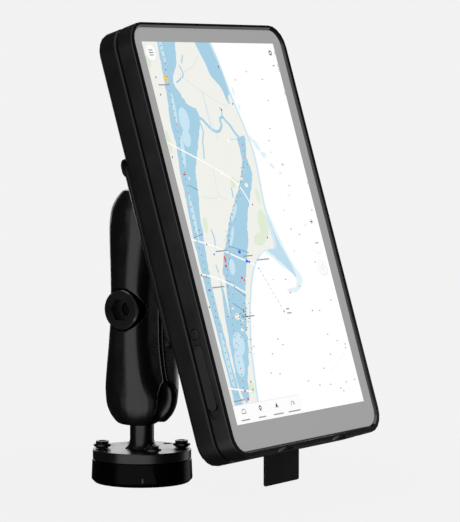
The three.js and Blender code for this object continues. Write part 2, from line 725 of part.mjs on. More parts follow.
function buildRearHousing(group) {
  const floorY = REAR_BACK_Y - WALL;
  const bottomZ = BODY_CENTRE_Z - BODY_HALF_HEIGHT;
  const tabHalf = TAB_WIDTH / 2 + 0.8;
  const block = bodyFrame([
    [WALL, REAR_FRONT_Y], [0.8, REAR_FRONT_Y], [0, REAR_FRONT_Y + 0.9], [0, REAR_BACK_Y - 3],
    [0.4, REAR_BACK_Y - 1.5], [1.5, REAR_BACK_Y - 0.4], [3, REAR_BACK_Y],
  ]);
  const shell = cut(block, [bodyFrame([[WALL, REAR_FRONT_Y - 1], [WALL, floorY]])]);
  const insideShell = bodyFrame([
    [0.5, REAR_FRONT_Y + 2], [0.5, REAR_BACK_Y - 3], [3.2, REAR_BACK_Y - 0.2],
  ]);
  const tabWall = keep(box(2 * tabHalf + 4, 10, 9, 0, REAR_BACK_Y - 5.4, bottomZ + 5.3), insideShell);
  add(group, 'rear_housing', cut(join(shell, [tabWall]), rearTools(floorY, tabHalf)), casePlastic);
}

function buildHousings(group) {
  buildFrontHousing(group);
  buildRearHousing(group);
  const gasket = bodyFrame([
    [1.7, FRONT_BACK_Y + GAP], [1.7, REAR_FRONT_Y - GAP],
    [3.7, REAR_FRONT_Y - GAP], [3.7, FRONT_BACK_Y + GAP],
  ], { closed: true });
  add(group, 'housing_gasket', gasket, rubber);
}

function caseScrewPlaces() {
  const places = [];
  for (const x of [-CASE_SCREW_X, CASE_SCREW_X]) {
    for (const z of [CASE_SCREW_LOW_Z, CASE_SCREW_HIGH_Z]) {
      places.push([x, z]);
    }
  }
  return places;
}

function buildCaseScrews(group) {
  caseScrewPlaces().forEach(([x, z], index) => {
    const seat = REAR_BACK_Y - CASE_SCREW_SINK + GAP;
    const head = rodY(2.7, seat, seat + 1.2, x, z, 12);
    const shank = rodY(1.3, 7.6, seat + 0.2, x, z, 8);
    const socket = rodY(1.1, seat + 0.5, seat + 2, x, z, 6);
    add(group, `case_screw_${index + 1}`, cut(join(head, [shank]), [socket]), blackSteel);
  });
}

function buildScreen(group) {
  const halfX = GLASS_WIDTH / 2 - GAP;
  const halfZ = GLASS_HEIGHT / 2 - GAP;
  const cover = framed(halfX, halfZ, GLASS_CORNER - GAP, [
    [0.3, 0], [0, 0.3], [0, GLASS_THICKNESS],
  ], { steps: 6 });
  add(group, 'cover_glass', cover, glass);

  const sealFront = GLASS_THICKNESS + 0.1;
  const seal = framed(halfX, halfZ, GLASS_CORNER, [
    [2.2, sealFront], [0.2, sealFront], [0.2, sealFront + 0.3], [2.2, sealFront + 0.3],
  ], { closed: true, steps: 4 });
  add(group, 'glass_seal', seal, rubber);

  const panelFront = GLASS_THICKNESS + GAP;
  const panel = framed(71, 116.5, 1.5, [[0, panelFront], [0, panelFront + 1.6]], { steps: 2, z: 3.4 });
  add(group, 'lcd_panel', panel, screen);
  const lightFront = panelFront + 1.6 + GAP;
  const light = framed(71, 116.5, 1.5, [[0, lightFront], [0, lightFront + 3]], { steps: 2, z: 3.4 });
  add(group, 'backlight_unit', light, sheetMetal);
}

function buildInside(group) {
  const chassisY = 7.4;
  const chassis = framed(72.6, 122.3, 7, [[0, chassisY], [0, chassisY + 1.6]], {
    steps: 4,
    z: BODY_CENTRE_Z,
  });
  const chassisHoles = caseScrewPlaces().map(([x, z]) => rodY(1.8, chassisY - 2, chassisY + 4, x, z, 8));
  const speakerWindow = box(60, 6, 80, -24, chassisY, -70);
  add(group, 'mid_chassis', cut(chassis, [speakerWindow, ...chassisHoles]), sheetMetal);

  const boardY = 12.2;
  add(group, 'main_board', box(120, 1.6, 92, 0, boardY, 66), boardGreen);
  add(group, 'processor_shield', box(44, 2.4, 36, -20, boardY + 2.4, 74), sheetMetal);
  add(group, 'heat_spreader', box(70, 0.8, 56, -22, boardY + 4.6, 72), sheetMetal);
  add(group, 'battery_pack', framed(50, 38, 3, [[0, 11.8], [0, 18.4]], { steps: 3, z: -34 }), batteryFoil);
  add(group, 'gnss_antenna', box(25, 4, 25, 48, 18.4, 98), steel);
  add(group, 'speaker', rodY(13, 13, 19, SPEAKER_X, SPEAKER_Z, 24), ringPlastic);
  add(group, 'dock_connector', box(30, 5, 5, 0, 15, -106), gold);

  // sockets behind the side and bottom covers, standing behind the chassis in the case wall
  add(group, 'usb_socket', box(4, 3.2, 9, -BODY_HALF_WIDTH + 4.6, 6.1, -70), steel);
  add(group, 'card_socket', box(4, 2.4, 14, -BODY_HALF_WIDTH + 4.6, 6.1, -87), steel);
}

// ---------------------------------------------------------------- controls, covers and tab

function buildControls(group) {
  const half = BODY_HALF_WIDTH;
  const topZ = BODY_CENTRE_Z + BODY_HALF_HEIGHT;
  const bottomZ = BODY_CENTRE_Z - BODY_HALF_HEIGHT;
  add(group, 'power_button', rodX(POWER_BUTTON_RADIUS, -half - 0.2, -half + 3, SIDE_CONTROL_Y,
    POWER_BUTTON_Z, 16), bumperPlastic);
  add(group, 'power_switch', box(1.6, 3.4, 4, -half + 5.4, SIDE_CONTROL_Y, POWER_BUTTON_Z), steel);

  const top = slot(TOP_BUTTON_LENGTH, TOP_BUTTON_WIDTH, -2, 1, 0, 0).rotateY(Math.PI / 2);
  add(group, 'top_button', top.translate(TOP_BUTTON_X, SIDE_CONTROL_Y, topZ - 1.5), bumperPlastic);
  add(group, 'top_switch', box(6, 3.4, 1.2, TOP_BUTTON_X, SIDE_CONTROL_Y, topZ - 5.4), steel);

  add(group, 'side_port_cover', slot(PORT_COVER_LENGTH, PORT_COVER_WIDTH, -half + 0.1, -half + 2,
    SIDE_CONTROL_Y, PORT_COVER_Z), rubber);
  const bottomCover = slot(BOTTOM_COVER_LENGTH, BOTTOM_COVER_WIDTH, -1.8, 0, 0, 0).rotateY(Math.PI / 2);
  add(group, 'bottom_port_cover', bottomCover.translate(0, SIDE_CONTROL_Y, bottomZ + 0.2), rubber);

  const pinEnd = TAB_WIDTH / 2 + 1.4;
  add(group, 'tab_pin', rodX(0.8, -pinEnd, pinEnd, TAB_PIN_Y, TAB_PIN_Z, 12), steel);
}

// ---------------------------------------------------------------- assembly

const model = new THREE.Group();

const base = new THREE.Group();
buildBase(base);
add(base, 'lower_ball_cover', ballCover().translate(0, 0, LOWER_BALL_Z), rubber);
model.add(base);

const arm = new THREE.Group();
arm.position.set(0, 0, LOWER_BALL_Z);
arm.rotation.x = radians(ARM_LEAN);
buildArm(arm);
model.add(arm);

const display = new THREE.Group();
display.position.set(...GLASS_CENTRE);
display.rotation.x = -radians(DISPLAY_TILT);
buildStud(display);
buildDock(display);
add(display, 'upper_ball_cover', ballCover().rotateX(-Math.PI / 2).translate(0, BALL_Y, STUD_Z), rubber);
buildHousings(display);
buildCaseScrews(display);
buildScreen(display);
buildInside(display);
buildControls(display);
model.add(display);

// The pull tab hangs straight down from its pin, so it is built upright.
function buildPullTab(group) {
  const tilt = radians(DISPLAY_TILT);
  const pinY = GLASS_CENTRE[1] + TAB_PIN_Y * Math.cos(tilt) + TAB_PIN_Z * Math.sin(tilt);
  const pinZ = GLASS_CENTRE[2] - TAB_PIN_Y * Math.sin(tilt) + TAB_PIN_Z * Math.cos(tilt);
  const length = pinZ - TAB_BOTTOM_Z;
  const eye = rodX(2, -TAB_WIDTH / 2, TAB_WIDTH / 2, 0, 0, 20);
  const blade = framed(TAB_WIDTH / 2, length / 2, 1.2, [
    [0.3, -TAB_THICKNESS / 2], [0, -TAB_THICKNESS / 2 + 0.3], [0, TAB_THICKNESS / 2 - 0.3],
    [0.3, TAB_THICKNESS / 2],
  ], { steps: 3, z: -length / 2 });
  const bore = rodX(1.1, -TAB_WIDTH, TAB_WIDTH, 0, 0, 16);
  add(group, 'pull_tab', cut(join(eye, [blade]), [bore]).translate(0, pinY, pinZ), tabWebbing);
}

buildPullTab(model);

export default model;
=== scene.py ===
"""Looks for the portrait chartplotter display on its ball-and-socket arm.

Objects are in metres in the CAD row frame. Shapes are written in millimetres in three local frames:
the base's own, the arm's (origin at the lower ball, Z along the arm) and the display's
(origin at the glass centre, X across, Y back from the glass face, Z up the screen).
"""
import json
import math
import random

import bmesh
import bpy
from mathutils import Matrix, Vector
from mathutils.geometry import delaunay_2d_cdt


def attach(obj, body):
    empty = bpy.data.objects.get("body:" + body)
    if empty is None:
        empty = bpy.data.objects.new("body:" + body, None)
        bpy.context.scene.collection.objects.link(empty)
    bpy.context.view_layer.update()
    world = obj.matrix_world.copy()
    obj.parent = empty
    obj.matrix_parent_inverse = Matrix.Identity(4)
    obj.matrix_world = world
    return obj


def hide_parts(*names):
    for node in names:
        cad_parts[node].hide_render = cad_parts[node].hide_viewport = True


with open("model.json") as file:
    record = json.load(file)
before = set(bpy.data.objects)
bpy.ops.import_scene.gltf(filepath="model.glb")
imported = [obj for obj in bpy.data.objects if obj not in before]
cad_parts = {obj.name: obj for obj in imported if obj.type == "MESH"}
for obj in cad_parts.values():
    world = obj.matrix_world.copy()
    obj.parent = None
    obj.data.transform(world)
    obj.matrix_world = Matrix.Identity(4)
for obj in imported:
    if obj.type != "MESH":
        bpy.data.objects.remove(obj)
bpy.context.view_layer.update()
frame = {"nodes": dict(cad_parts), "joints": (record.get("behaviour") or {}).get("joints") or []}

MM = 0.001
JOINTS = {joint["name"]: joint for joint in frame["joints"]}
LOWER_BALL = Vector(JOINTS["arm_tilt"]["pos_m"])
UPPER_BALL = Vector(JOINTS["display_tilt"]["pos_m"])
BALL_RADIUS = 19.05
BALL_CORE = 17.3
SKIN_GAP = 0.3
SKIN_MOUTH = 8.2

# the display's axes, and its glass centre measured back from the upper ball
DEPTH_AXIS = Vector(JOINTS["display_turn"]["axis"]).normalized()
UP_AXIS = Vector((1, 0, 0)).cross(DEPTH_AXIS)
BALL_DEPTH = 76.37
BALL_HEIGHT = 29.35


def local_frame(origin, axis_x, axis_y, axis_z):
    """Matrix from millimetres in a local frame to metres in the row frame."""
    turn = Matrix((axis_x, axis_y, axis_z)).transposed().to_4x4()
    return Matrix.Translation(origin) @ turn @ Matrix.Scale(MM, 4)


ARM_AXIS = (UPPER_BALL - LOWER_BALL).normalized()
BASE = Matrix.Scale(MM, 4)
ARM = local_frame(LOWER_BALL, Vector((1, 0, 0)), ARM_AXIS.cross(Vector((1, 0, 0))), ARM_AXIS)
GLASS_CENTRE = UPPER_BALL - DEPTH_AXIS * BALL_DEPTH * MM - UP_AXIS * BALL_HEIGHT * MM
DISPLAY = local_frame(GLASS_CENTRE, Vector((1, 0, 0)), DEPTH_AXIS, UP_AXIS)
ARM_MIDDLE = (UPPER_BALL - LOWER_BALL).length / MM / 2


# ---------------------------------------------------------------- camera

CAMERA_PLACE = Vector((-1.30351, -0.96111, 0.248035))
CAMERA_BACK = Vector((-0.8221, -0.5650, 0.0698))
camera_data = bpy.data.cameras.new("photo_camera")
camera_data.sensor_width = 36
camera_data.lens = 183.96
camera_data.clip_end = 50
camera = bpy.data.objects.new("photo_camera", camera_data)
bpy.context.scene.collection.objects.link(camera)
camera.location = CAMERA_PLACE
camera.rotation_euler = (-CAMERA_BACK).to_track_quat("-Z", "Y").to_euler()
bpy.context.scene.camera = camera
bpy.context.scene.view_settings.view_transform = "Standard"


# ---------------------------------------------------------------- materials


def linear(value):
    """One 0-255 display value as linear light."""
    share = value / 255
    return share / 12.92 if share <= 0.04045 else ((share + 0.055) / 1.055) ** 2.4


def shade(red, green=None, blue=None):
    green = red if green is None else green
    blue = red if blue is None else blue
    return (linear(red), linear(green), linear(blue), 1)


class Finish:
    """A node material with a Principled shader and object-space noise."""

    def __init__(self, name):
        self.material = bpy.data.materials.new(name)
        self.material.use_nodes = True
        self.tree = self.material.node_tree
        self.shader = self.tree.nodes["Principled BSDF"]
        self.place = self.tree.nodes.new("ShaderNodeTexCoord").outputs["Object"]

    def node(self, kind, **settings):
        made = self.tree.nodes.new(kind)
        for key, value in settings.items():
            setattr(made, key, value)
        return made

    def link(self, start, end):
        self.tree.links.new(start, end)

    def noise(self, size_mm, detail=2.0, stretch=None):
        """Noise whose features are about size_mm across; stretch scales each axis."""
        made = self.node("ShaderNodeTexNoise")
        made.inputs["Scale"].default_value = 1000 / size_mm
        made.inputs["Detail"].default_value = detail
        source = self.place
        if stretch:
            mapping = self.node("ShaderNodeMapping")
            mapping.inputs["Scale"].default_value = stretch
            self.link(source, mapping.inputs["Vector"])
            source = mapping.outputs["Vector"]
        self.link(source, made.inputs["Vector"])
        return made.outputs["Fac"]

    def spread(self, source, low, high):
        """source, remapped from the noise's usual range to low..high."""
        made = self.node("ShaderNodeMapRange")
        made.inputs["From Min"].default_value = 0.3
        made.inputs["From Max"].default_value = 0.7
        made.inputs["To Min"].default_value = low
        made.inputs["To Max"].default_value = high
        self.link(source, made.inputs["Value"])
        return made.outputs["Result"]

    def mix(self, factor, first, second):
        made = self.node("ShaderNodeMix", data_type="RGBA")
        made.inputs["A"].default_value = first
        made.inputs["B"].default_value = second
        self.link(factor, made.inputs["Factor"])
        return made.outputs["Result"]

    def bump(self, heights):
        """heights: (source, distance in mm) pairs, chained into the shader's normal."""
        normal = None
        for source, distance in heights:
            made = self.node("ShaderNodeBump")
            made.inputs["Distance"].default_value = distance * MM
            self.link(source, made.inputs["Height"])
            if normal:
                self.link(normal, made.inputs["Normal"])
            normal = made.outputs["Normal"]
        self.link(normal, self.shader.inputs["Normal"])


def tinted(colour, share):
    return tuple(min(1, channel * share) for channel in colour[:3]) + (1,)


def surface(name, colour, roughness, grain=0.3, height=0.01, vary=0.15, rough_vary=0.05, stretch=None,
            blotch=14, **constants):
    """A grained finish: colour and roughness drift over blotches, and a fine grain lies in the bump."""
    made = Finish(name)
    broad = made.noise(blotch, 4)
    fine = made.noise(grain, 3, stretch)
    made.link(made.mix(broad, tinted(colour, 1 - vary), tinted(colour, 1 + vary)),
              made.shader.inputs["Base Color"])
    made.link(made.spread(broad, roughness - rough_vary, roughness + rough_vary),
              made.shader.inputs["Roughness"])
    made.bump([(fine, height)])
    for key, value in constants.items():
        made.shader.inputs[key].default_value = value
    return made.material


POWDER = surface("powder_coat_black", shade(13), 0.26, grain=0.9, height=0.002)
STEEL_BLACK = surface("blackened_steel", shade(13), 0.26, grain=0.7, height=0.002)
BALL_RUBBER = surface("ball_rubber", shade(6), 0.24, grain=0.9, height=0.003, **{"Specular IOR Level": 0.35})
RUBBER = surface("moulded_rubber", shade(17), 0.55, grain=0.6, height=0.01)
RING = surface("base_ring_plastic", shade(3), 0.22, grain=2.2, height=0.002, rough_vary=0.03,
               **{"Specular IOR Level": 0.05})
TICK = surface("index_tick_plastic", shade(40), 0.5, grain=0.9, height=0.002)
KNOB = surface("knob_plastic", shade(8), 0.32, grain=0.9, height=0.003)
# near-black, dull steel for the knob's nut and clamp bolt; the darkness is partly painted shade for the
# knob's hex recess and bore
BLACK_STEEL_AND_BORE_SHADE = surface("black_steel_painted_bore_shade", shade(4), 0.35, grain=0.5, height=0.003,
                **{"Specular IOR Level": 0.15})
CASE = surface("rear_case_plastic", shade(18), 0.36, grain=0.6, height=0.004, **{"Specular IOR Level": 0.28})
BUMPER = surface("front_bumper_plastic", shade(19), 0.32, grain=0.6, height=0.004)
# smoother, glossier finish for the knob's face rim and the lip round the glass; its grey, lighter than the
# knob and bumper, is a painted highlight
BEVEL = surface("polished_bevel_painted_highlight", shade(30), 0.14, grain=0.8, height=0.001, **{"Specular IOR Level": 1.0})
TAB = surface("tab_rubber_sheet", shade(16, 16, 14), 0.6, grain=0.7, height=0.01,
              **{"Specular IOR Level": 0.2})
# near-black foam for the seal in the case groove; its darkness is partly painted shade for the groove
SEAL_AND_GROOVE_SHADE = surface("gasket_foam_painted_groove_shade", shade(5), 0.7, grain=0.5, height=0.02, **{"Specular IOR Level": 0.1})
SHEET_METAL = surface("rolled_sheet_metal", shade(160, 162, 165), 0.34, grain=0.4, height=0.004,
                      stretch=(0.05, 1, 1), Metallic=1.0)
BRIGHT = surface("turned_steel", shade(190, 190, 194), 0.26, grain=0.25, height=0.003,
                 stretch=(1, 0.1, 0.1), Metallic=1.0)
GOLD = surface("gold_contact", shade(225, 184, 92), 0.25, grain=0.3, height=0.002, Metallic=1.0)
BOARD = surface("board_lacquer", shade(28, 92, 60), 0.38, grain=1.4, height=0.02, vary=0.3, blotch=4)
FOIL = surface("battery_foil_wrap", shade(70, 73, 80), 0.34, grain=3.5, height=0.08, Metallic=0.3)
# grey print on the cover glass, with an emission that is painted light: the border glows though it is no lamp
BORDER_WITH_PAINTED_GLOW = surface("printed_glass_border_painted_glow", shade(120), 0.3, grain=4, height=0.0002, vary=0.01,
                 **{"Coat Weight": 1.0, "Coat Roughness": 0.04, "Specular IOR Level": 0.0,
                    "Emission Color": shade(168), "Emission Strength": 0.8})
PANEL_EDGE = surface("panel_edge_black", shade(20), 0.4)


def lit(name, colour, strength):
    """One ink of the lit screen: emits its colour under a glossy front, with a faint pixel grain."""
    made = Finish(name)
    tone = made.mix(made.noise(0.28, 0), tinted(colour, 0.985), tinted(colour, 1.015))
    made.shader.inputs["Base Color"].default_value = (0.004, 0.004, 0.004, 1)
    made.link(tone, made.shader.inputs["Emission Color"])
    made.shader.inputs["Emission Strength"].default_value = strength
    made.shader.inputs["Roughness"].default_value = 0.06
    return made.material


# ---------------------------------------------------------------- mesh helpers

WELD_DISTANCE = 0.001
FLAT_ANGLE = 0.6
HARD_EDGE_ANGLE = 30
SHADING_ANGLE = 38

# castings are remade on an even grid, then smoothed
CAST_VOXEL = 0.5
CAST_ROUNDS = 20
CAST_SHARP = 70


def object_from(name, bm):
    mesh = bpy.data.meshes.new(name)
    bm.to_mesh(mesh)
    bm.free()
    made = bpy.data.objects.new(name, mesh)
    bpy.context.scene.collection.objects.link(made)
    return made


def apply_modifiers(made):
    graph = bpy.context.evaluated_depsgraph_get()
    mesh = bpy.data.meshes.new_from_object(made.evaluated_get(graph))
    made.modifiers.clear()
    made.data = mesh


def piece(made, finishes, body, nodes=(), sharp=SHADING_ANGLE):
    """Shades the object by angle, gives it its finish and body, and hides the CAD parts it stands for."""
    if not isinstance(finishes, (list, tuple)):
        finishes = [finishes]
    keep = [face.material_index for face in made.data.polygons]
    made.data.materials.clear()
    for finish in finishes:
        made.data.materials.append(finish)
    made.data.polygons.foreach_set("material_index", keep)
    made.data.shade_smooth()
    made.data.set_sharp_from_angle(angle=math.radians(sharp))
    weighted = made.modifiers.new("normals", "WEIGHTED_NORMAL")
    weighted.keep_sharp = True
    weighted.weight = 100
    apply_modifiers(made)
    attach(made, body)
    if nodes:
        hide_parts(*nodes)


def cad_copy(node, matrix):
    """The node's mesh with its seams welded, as a bmesh in a local frame."""
    bm = bmesh.new()
    bm.from_mesh(frame["nodes"][node].data)
    for face in bm.faces:
        face.material_index = 0
    bm.transform(matrix.inverted())
    bmesh.ops.remove_doubles(bm, verts=bm.verts, dist=WELD_DISTANCE)
    return bm


def add_bevel(made, width, segments=2):
    bevel = made.modifiers.new("edges", "BEVEL")
    bevel.width = width
    bevel.segments = segments
    bevel.limit_method = "ANGLE"
    bevel.angle_limit = math.radians(HARD_EDGE_ANGLE)
    bevel.use_clamp_overlap = True
    bevel.miter_outer = "MITER_ARC"


def edged(node, name, width, matrix=BASE, segments=2):
    """The node's shape with its flats joined up and every hard edge rounded over, in metres."""
    bm = cad_copy(node, matrix)
    bmesh.ops.dissolve_limit(bm, angle_limit=math.radians(FLAT_ANGLE), verts=bm.verts, edges=bm.edges)
    made = object_from(name, bm)
    add_bevel(made, width, segments)
    apply_modifiers(made)
    made.data.transform(matrix)
    return made


def cast(node, name, matrix):
    """The node's shape remade as a casting: even mesh, with edges and hollows softly filleted."""
    made = object_from(name, cad_copy(node, matrix))
    remesh = made.modifiers.new("remesh", "REMESH")
    remesh.mode = "VOXEL"
    remesh.voxel_size = CAST_VOXEL
    smooth = made.modifiers.new("soften", "SMOOTH")
    smooth.factor = 0.5
    smooth.iterations = CAST_ROUNDS
    apply_modifiers(made)
    made.data.transform(matrix)
    return made


def rounded_outline(half_x, half_z, radius, steps):
    points = []
    for sign_x, sign_z, start in ((1, 1, 0), (-1, 1, 90), (-1, -1, 180), (1, -1, 270)):
        for i in range(steps + 1):
            angle = math.radians(start + 90 * i / steps)
            points.append((sign_x * (half_x - radius) + radius * math.cos(angle),
                           sign_z * (half_z - radius) + radius * math.sin(angle)))
    return points


def framed(half_x, half_z, corner, profile, steps=10, z=0, x=0, closed=False):
    """Carries [inset, depth] points round a rounded rectangle; an open profile is capped."""
    bm = bmesh.new()
    rows = []
    for inset, depth in profile:
        outline = rounded_outline(half_x - inset, half_z - inset, max(corner - inset, 0.3), steps)
        rows.append([bm.verts.new((px + x, depth, pz + z)) for px, pz in outline])
    count = len(rows[0])
    pairs = list(zip(rows, rows[1:]))
    if closed:
        pairs.append((rows[-1], rows[0]))
    for here, there in pairs:
        for i in range(count):
            j = (i + 1) % count
            bm.faces.new((here[i], there[i], there[j], here[j]))
    if not closed:
        bm.faces.new(rows[0])
        bm.faces.new(list(reversed(rows[-1])))
    bmesh.ops.recalc_face_normals(bm, faces=bm.faces)
    return bm


def turned(profile, steps=64):
    """Spins a closed loop of (radius, height) points about Z."""
    bm = bmesh.new()
    verts = [bm.verts.new((radius, 0, height)) for radius, height in profile]
    edges = [bm.edges.new(pair) for pair in zip(verts, verts[1:] + verts[:1])]
    bmesh.ops.spin(bm, geom=verts + edges, angle=2 * math.pi, steps=steps, axis=(0, 0, 1), cent=(0, 0, 0))
    bmesh.ops.remove_doubles(bm, verts=bm.verts, dist=0.002)
    bmesh.ops.recalc_face_normals(bm, faces=bm.faces)
    return bm


def cut_away(made, tool):
    """Cuts the tool's shape out of the object, and drops the tool."""
    cutter = made.modifiers.new("tool", "BOOLEAN")
    cutter.operation = "DIFFERENCE"
    cutter.solver = "EXACT"
    cutter.object = tool
    apply_modifiers(made)
    bpy.data.objects.remove(tool)


# ---------------------------------------------------------------- base, balls and arm

piece(edged("base_ring", "ring_moulding", 0.45, segments=3), RING, "base", ["base_ring"])
TICK_AZIMUTH = math.radians(217)
TICK_RADIUS = 30.35
TICK_HEIGHT = 4.4
TICK_SIZE = (0.7, 1, 2.9)
TICK_PLACE = Matrix.Rotation(TICK_AZIMUTH, 4, "Z") @ Matrix.Translation((TICK_RADIUS, 0, TICK_HEIGHT))
tick_shape = bmesh.new()
bmesh.ops.create_cube(tick_shape, size=1, matrix=TICK_PLACE @ Matrix.Diagonal((*TICK_SIZE, 1)))
tick = object_from("index_tick", tick_shape)
add_bevel(tick, 0.1, 2)
apply_modifiers(tick)
tick.data.transform(BASE)
piece(tick, TICK, "base")
piece(edged("base_plate", "mounting_disc", 0.4, segments=3), POWDER, "base", ["base_plate"])
piece(edged("base_ball_post", "ball_post", 0.35), STEEL_BLACK, "base", ["base_ball_post"])
for index in (1, 2, 3):
    bolt = edged(f"base_bolt_{index}", f"flange_bolt_{index}", 0.3, segments=3)
    piece(bolt, STEEL_BLACK, "base", [f"base_bolt_{index}"])


def ball_skin():
    """Rubber skin round a ball, open at -Z where the post comes through."""
    mouth = math.asin(SKIN_MOUTH / BALL_RADIUS)
    inner_radius = BALL_CORE + SKIN_GAP
    inner_mouth = math.asin(SKIN_MOUTH / inner_radius)
    rows = 28
    profile = []
    for i in range(rows + 1):
        angle = mouth + (math.pi - mouth) * i / rows
        profile.append((BALL_RADIUS * math.sin(angle), -BALL_RADIUS * math.cos(angle)))
    for i in range(rows, -1, -1):
        angle = inner_mouth + (math.pi - inner_mouth) * i / rows
        profile.append((inner_radius * math.sin(angle), -inner_radius * math.cos(angle)))
    return turned(profile, 72)


lower_skin = object_from("lower_ball_skin", ball_skin())
lower_skin.data.transform(Matrix.Translation(LOWER_BALL) @ BASE)
piece(lower_skin, BALL_RUBBER, "lower_ball", ["lower_ball_cover"])
upper_skin = object_from("upper_ball_skin", ball_skin())
upper_place = Matrix.Translation((0, BALL_DEPTH, BALL_HEIGHT))
upper_skin.data.transform(DISPLAY @ upper_place @ Matrix.Rotation(math.radians(-90), 4, "X"))
piece(upper_skin, BALL_RUBBER, "upper_ball", ["upper_ball_cover"])

piece(cast("arm_shell_right", "socket_arm_right", ARM), POWDER, "arm",
      ["arm_shell_right"], sharp=CAST_SHARP)
piece(cast("arm_shell_left", "socket_arm_left", ARM), POWDER, "clamp_half",
      ["arm_shell_left"], sharp=CAST_SHARP)


RIM_FROM = 11.4
RIM_TILT = (0.15, 0.95)


def polish_and_highlight_rim(knob):
    """Gives the rounded edge of the knob's face the polished finish, whose lighter grey is a painted
    highlight.
    """
    to_arm = ARM.inverted()
    axis = (ARM.to_3x3() @ Vector((1, 0, 0))).normalized()
    for face in knob.data.polygons:
        spot = to_arm @ face.center
        reach = math.hypot(spot.y, spot.z - ARM_MIDDLE)
        tilt = abs(face.normal.dot(axis))
        face.material_index = int(reach > RIM_FROM and RIM_TILT[0] < tilt < RIM_TILT[1])
    return knob


knob_shape = polish_and_highlight_rim(edged("clamp_knob", "knob_moulding", 0.35, ARM, 3))
piece(knob_shape, [KNOB, BEVEL], "knob", ["clamp_knob"])
# nut and bolt in the knob's recess carry the near-black painted bore shade
piece(edged("knob_nut", "knob_lock_nut", 0.25, ARM), BLACK_STEEL_AND_BORE_SHADE, "knob", ["knob_nut"])
piece(edged("clamp_bolt", "clamp_bolt_turned", 0.3, ARM), BLACK_STEEL_AND_BORE_SHADE, "arm", ["clamp_bolt"])


def coil(radius, wire, low, high, turns, around=10, steps=22):
    """Wire wound about X from low to high, with closed ends."""
    bm = bmesh.new()
    total = int(turns * steps)
    rings = []
    for i in range(total + 1):
        angle = 2 * math.pi * i / steps
        centre = Vector((low + (high - low) * i / total, radius * math.cos(angle), radius * math.sin(angle)))
        outward = Vector((0, math.cos(angle), math.sin(angle)))
        ring = []
        for j in range(around):
            turn = 2 * math.pi * j / around
            offset = outward * math.cos(turn) + Vector((1, 0, 0)) * math.sin(turn)
            ring.append(bm.verts.new(centre + offset * wire))
        rings.append(ring)
    for here, there in zip(rings, rings[1:]):
        for j in range(around):
            k = (j + 1) % around
            bm.faces.new((here[j], here[k], there[k], there[j]))
    bm.faces.new(rings[0])
    bm.faces.new(list(reversed(rings[-1])))
    bmesh.ops.recalc_face_normals(bm, faces=bm.faces)
    return bm


spring = object_from("clamp_spring_coil", coil(5.1, 0.62, -2.9, 6.9, 4.5))
spring.data.transform(ARM @ Matrix.Translation((0, 0, ARM_MIDDLE)))
piece(spring, BRIGHT, "arm", ["clamp_spring"])

# ---------------------------------------------------------------- display case

DISPLAY_PIECES = [
    # CAD node, piece name, edge radius, finish, slot, body
    ("front_housing", "front_bumper", 0.3, BUMPER, "bumper", "display"),
    ("rear_housing", "rear_shell", 0.35, CASE, "rear_case", "display"),
    ("dock_plate", "dock_casting", 0.4, POWDER, "powder_coat", "display"),
    ("dock_ball_stud", "dock_stud", 0.4, STEEL_BLACK, "black_steel", "display"),
    ("power_button", "power_key", 0.35, BUMPER, "bumper", "power_button"),
    ("top_button", "top_key", 0.35, BUMPER, "bumper", "top_button"),
    ("side_port_cover", "side_port_flap", 0.3, RUBBER, "black_rubber", "side_cover"),
    ("bottom_port_cover", "bottom_port_flap", 0.3, RUBBER, "black_rubber", "bottom_cover"),
    ("pull_tab", "release_tab", 0.3, TAB, "tab_rubber", "tab"),
]
for number in (1, 2, 3, 4):
    for kind in ("stud_screw", "dock_screw", "case_screw"):
        DISPLAY_PIECES.append((f"{kind}_{number}", f"{kind}_head_{number}", 0.2, STEEL_BLACK,
                               "black_steel", "display"))


LIP_DEPTH = 0.3
LIP_SLOPE = (-0.93, -0.4)
LIP_INWARD = -0.1


def polish_and_highlight_lip(bumper):
    """Marks the sloping lip that runs round the glass, which is smoother than the rest and painted a lighter
    grey as a highlight.
    """
    to_display = DISPLAY.inverted()
    for face in bumper.data.polygons:
        centre = to_display @ face.center
        slope = face.normal.dot(DEPTH_AXIS)
        outward = Vector((centre.x, 0, centre.z)).normalized()
        inward = (to_display.to_3x3() @ face.normal).normalized().dot(outward)
        if centre.y < LIP_DEPTH and LIP_SLOPE[0] < slope < LIP_SLOPE[1] and inward < LIP_INWARD:
            face.material_index = 1


for node, name, width, finish, slot, body in DISPLAY_PIECES:
    made = edged(node, name, width, DISPLAY)
    # the lip round the glass takes the lighter finish, a painted highlight
    if node == "front_housing":
        polish_and_highlight_lip(made)
        finish = [BUMPER, BEVEL]
    piece(made, finish, body, [node])

# foam seal that fills the groove between the two halves of the case; its near-black colour is partly painted
# shade for the groove
BODY_HALF_X = 80
BODY_HALF_Z = 128.7
BODY_CORNER = 14
BODY_CENTRE_Z = -0.5
SEAL_OUTER, SEAL_INNER, SEAL_FRONT, SEAL_BACK = 1.65, 3.9, 9.42, 11.08
SEAL_EDGE = 0.2
seal = object_from("groove_seal", framed(BODY_HALF_X, BODY_HALF_Z, BODY_CORNER, [
    (SEAL_OUTER, SEAL_FRONT + SEAL_EDGE), (SEAL_OUTER, SEAL_BACK - SEAL_EDGE),
    (SEAL_OUTER + SEAL_EDGE, SEAL_BACK), (SEAL_INNER, SEAL_BACK),
    (SEAL_INNER, SEAL_FRONT), (SEAL_OUTER + SEAL_EDGE, SEAL_FRONT),
], steps=14, z=BODY_CENTRE_Z, closed=True))
seal.data.transform(DISPLAY)
piece(seal, SEAL_AND_GROOVE_SHADE, "display", ["housing_gasket"])

